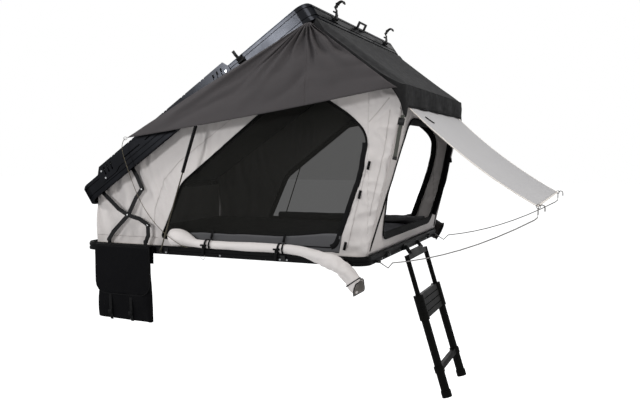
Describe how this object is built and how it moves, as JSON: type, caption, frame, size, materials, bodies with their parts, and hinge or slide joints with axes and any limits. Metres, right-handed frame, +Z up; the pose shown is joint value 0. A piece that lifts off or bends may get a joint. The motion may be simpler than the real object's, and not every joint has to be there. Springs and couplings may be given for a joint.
{
  "type": "roof top tent",
  "caption": "Hard-shell roof top tent, pitched: tilted lid on scissor hinges and gas struts, canvas walls, side awnings, propped visor, telescopic ladder and shoe bag.",
  "frame": {"origin": "centre of the base underside, on the middle rack channel", "axes": "+X towards the ladder and visor end, +Y to the right side, +Z up"},
  "size_m": [3.1254, 2.0892, 2.61],
  "materials": {
    "base_alloy": "satin",
    "floor_board": "matte",
    "seal_rubber": "matte",
    "black_steel": "satin",
    "bright_screws": "satin",
    "latch_plastic": "matte",
    "mattress_cover": "matte",
    "canvas": "matte",
    "canvas_shade": "matte",
    "fly_cloth": "matte",
    "screen_mesh": "matte",
    "bow_rod": "satin",
    "cord": "matte",
    "bag_cloth": "matte",
    "lid_alloy": "satin",
    "lid_sheet": "satin",
    "liner": "matte",
    "strut_black": "gloss",
    "strut_steel": "polished",
    "visor_cloth": "satin",
    "rod_steel": "satin",
    "ladder_alloy": "satin"
  },
  "bodies": {
    "base": {"base_rail_left": "base_alloy", "base_rail_right": "base_alloy", "base_rail_front": "base_alloy", "base_rail_rear": "base_alloy", "base_corners": "base_alloy", "floor_panel": "floor_board", "rack_channels": "base_alloy", "edge_seal": "seal_rubber", "base_brackets": "black_steel", "rail_bolts": "bright_screws", "ladder_bracket": "black_steel", "latch_catches": "latch_plastic", "rod_sockets": "black_steel", "mattress": "mattress_cover", "wall_left": "canvas", "wall_right": "canvas", "wall_rear": "canvas", "wall_front": "canvas", "roof_fly": "fly_cloth", "awning_left": "fly_cloth", "awning_right": "fly_cloth", "door_mesh_left": "screen_mesh", "door_roll_left": "canvas", "door_roll_right": "canvas_shade", "front_bow": "bow_rod", "guy_cord": "cord", "bag_body": "bag_cloth", "bag_hanger": "bag_cloth"},
    "lid": {"lid_rail_left": "lid_alloy", "lid_rail_right": "lid_alloy", "lid_rail_front": "lid_alloy", "lid_rail_rear": "lid_alloy", "lid_corners": "lid_alloy", "lid_skin": "lid_sheet", "lid_liner": "liner", "side_plate_left": "lid_alloy", "side_plate_right": "lid_alloy", "plate_screws": "bright_screws", "lid_brackets": "black_steel", "latch_bases": "latch_plastic", "lid_handle": "latch_plastic"},
    "arm_a": {"scissor_arms_a": "black_steel"},
    "arm_b": {"scissor_arms_b": "black_steel"},
    "link_a": {"scissor_links_a": "black_steel"},
    "link_b": {"scissor_links_b": "black_steel"},
    "strut_rod": {"strut_rods": "strut_steel"},
    "strut_tube": {"strut_tubes": "strut_black"},
    "visor": {"visor": "visor_cloth"},
    "visor_rod": {"visor_rods": "rod_steel"},
    "latch_fl": {"front_latch_left": "latch_plastic"},
    "latch_fr": {"front_latch_right": "latch_plastic"},
    "latch_sl": {"side_latch_left": "latch_plastic"},
    "latch_sr": {"side_latch_right": "latch_plastic"},
    "flap": {"bag_flap": "bag_cloth"},
    "ladder_0": {"ladder_top": "ladder_alloy"},
    "ladder_1": {"ladder_section_1": "ladder_alloy"},
    "ladder_2": {"ladder_section_2": "ladder_alloy"},
    "ladder_3": {"ladder_section_3": "ladder_alloy"},
    "ladder_4": {"ladder_section_4": "ladder_alloy"},
    "ladder_5": {"ladder_foot_section": "ladder_alloy"}
  },
  "joints": [
    {"name": "lid_fold", "type": "hinge", "parent": "base", "child": "lid", "pos_m": [-1.44959, 0, 0.23396], "axis": [0, -1, 0], "range_deg": [-34.15, 0], "deforming": ["wall_left", "wall_right", "wall_rear", "wall_front", "roof_fly", "awning_left", "awning_right", "door_mesh_left", "door_roll_left", "door_roll_right", "front_bow", "guy_cord", "visor"]},
    {"name": "arm_a_swing", "type": "hinge", "parent": "base", "child": "arm_a", "pos_m": [-0.872, 0, 0.072], "axis": [0, -1, 0], "range_deg": [-43.46, 0]},
    {"name": "arm_b_swing", "type": "hinge", "parent": "arm_a", "child": "arm_b", "pos_m": [-0.703, 0, 0.2496], "axis": [0, -1, 0], "range_deg": [0, 76.28]},
    {"name": "link_a_swing", "type": "hinge", "parent": "arm_a", "child": "link_a", "pos_m": [-0.587, 0, 0.4293], "axis": [0, -1, 0], "range_deg": [0, 113.32]},
    {"name": "link_b_swing", "type": "hinge", "parent": "base", "child": "link_b", "pos_m": [-0.5492, 0, 0.072], "axis": [0, -1, 0], "range_deg": [-54.48, 0]},
    {"name": "strut_swing", "type": "hinge", "parent": "base", "child": "strut_rod", "pos_m": [-0.392, 0, 0.024], "axis": [0, -1, 0], "range_deg": [-60.25, 0]},
    {"name": "strut_slide", "type": "slide", "parent": "strut_rod", "child": "strut_tube", "axis": [0.3259, 0, 0.9454], "range_m": [-0.5135, 0]},
    {"name": "visor_stow", "type": "hinge", "parent": "base", "child": "visor", "pos_m": [1.86311, 0, -1.35908], "axis": [0, -1, 0], "range_deg": [0, 35.65]},
    {"name": "visor_rod_swing", "type": "hinge", "parent": "base", "child": "visor_rod", "pos_m": [1.074, 0, 0.012], "axis": [0, -1, 0], "range_deg": [-100.01, 0]},
    {"name": "latch_front_left", "type": "hinge", "parent": "lid", "child": "latch_fl", "pos_m": [0.69485, -0.51, 1.54847], "axis": [0, 1, 0], "range_deg": [0, 140]},
    {"name": "latch_front_right", "type": "hinge", "parent": "lid", "child": "latch_fr", "pos_m": [0.69485, 0.59, 1.54847], "axis": [0, 1, 0], "range_deg": [0, 140]},
    {"name": "latch_side_left", "type": "hinge", "parent": "lid", "child": "latch_sl", "pos_m": [0.22409, -0.938, 1.24847], "axis": [0.8276, 0, 0.5614], "range_deg": [0, 140]},
    {"name": "latch_side_right", "type": "hinge", "parent": "lid", "child": "latch_sr", "pos_m": [0.22409, 0.938, 1.24847], "axis": [-0.8276, 0, -0.5614], "range_deg": [0, 140]},
    {"name": "bag_flap_lift", "type": "hinge", "parent": "base", "child": "flap", "pos_m": [-0.674, -0.933, 0.053], "axis": [-1, 0, 0], "range_deg": [0, 90]},
    {"name": "ladder_swing", "type": "hinge", "parent": "base", "child": "ladder_0", "pos_m": [1.09, 0.05, -0.011], "axis": [0, -1, 0], "range_deg": [0, 60]},
    {"name": "ladder_slide_1", "type": "slide", "parent": "ladder_0", "child": "ladder_1", "axis": [0.294, 0, -0.9558], "range_m": [-0.24, 0]},
    {"name": "ladder_slide_2", "type": "slide", "parent": "ladder_1", "child": "ladder_2", "axis": [0.294, 0, -0.9558], "range_m": [0, 0.24]},
    {"name": "ladder_slide_3", "type": "slide", "parent": "ladder_2", "child": "ladder_3", "axis": [0.294, 0, -0.9558], "range_m": [0, 0.24]},
    {"name": "ladder_slide_4", "type": "slide", "parent": "ladder_3", "child": "ladder_4", "axis": [0.294, 0, -0.9558], "range_m": [0, 0.24]},
    {"name": "ladder_slide_5", "type": "slide", "parent": "ladder_4", "child": "ladder_5", "axis": [0.294, 0, -0.9558], "range_m": [-0.15, 0]}
  ],
  "couplings": [
    {"joint": "arm_a_swing", "follows": "lid_fold", "ratio": 1.2721},
    {"joint": "arm_b_swing", "follows": "lid_fold", "ratio": -2.2329},
    {"joint": "link_a_swing", "follows": "lid_fold", "ratio": -3.3176},
    {"joint": "link_b_swing", "follows": "lid_fold", "ratio": 1.5947},
    {"joint": "strut_swing", "follows": "lid_fold", "ratio": 1.7636},
    {"joint": "strut_slide", "follows": "lid_fold", "m_per_rad": 0.86042},
    {"joint": "visor_stow", "follows": "lid_fold", "ratio": -1.0433},
    {"joint": "visor_rod_swing", "follows": "lid_fold", "ratio": 2.928}
  ]
}
